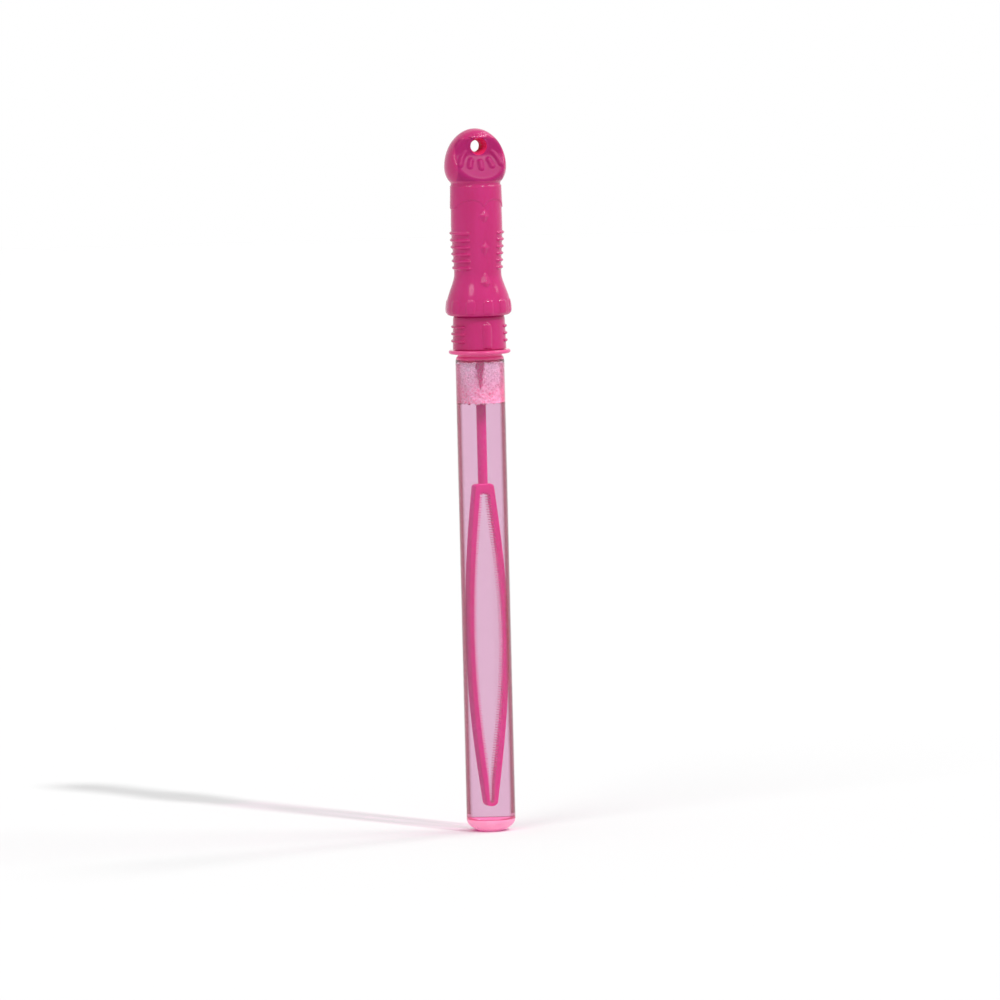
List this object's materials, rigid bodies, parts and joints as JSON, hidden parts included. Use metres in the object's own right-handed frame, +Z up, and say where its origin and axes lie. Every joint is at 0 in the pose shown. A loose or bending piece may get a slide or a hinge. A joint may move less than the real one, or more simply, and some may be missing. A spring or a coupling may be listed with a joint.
{
  "type": "bubble wand",
  "caption": "Bubble wand: a clear tube for bubble solution with a screw cap, a sword style handle with a lanyard hole, and a long toothed loop on a stick inside.",
  "frame": {"origin": "centre of the flat under the tube's domed lower end", "axes": "+Z up the wand from the foot to the head of the handle, -Y out of the handle's front face, +X to the right of someone who looks at that face"},
  "size_m": [0.0344, 0.0348, 0.3651],
  "materials": {
    "tube_plastic": "clear, tinted pink, glossy",
    "cap_plastic": "magenta, soft gloss",
    "handle_plastic": "magenta, soft gloss",
    "stick_plastic": "magenta, soft gloss",
    "seal_rubber": "matt, off-white"
  },
  "bodies": {
    "tube": {"tube": "tube_plastic"},
    "seal": {"cap_seal": "seal_rubber"},
    "stick": {"bubble_stick": "stick_plastic"},
    "handle": {"screw_cap": "cap_plastic", "handle_front": "handle_plastic", "handle_back": "handle_plastic"}
  },
  "joints": [
    {"name": "wand_draw", "type": "slide", "parent": "tube", "child": "seal", "axis": [0, 0, 1], "range_m": [0, 0.26]},
    {"name": "cap_lift", "type": "slide", "parent": "seal", "child": "stick", "axis": [0, 0, 1], "range_m": [0, 0.004]},
    {"name": "cap_unscrew", "type": "hinge", "parent": "stick", "child": "handle", "pos_m": [0, 0, 0.26], "axis": [0, 0, 1], "range_deg": [0, 360]}
  ],
  "couplings": [
    {"joint": "cap_lift", "follows": "cap_unscrew", "m_per_rad": 0.0006366}
  ]
}
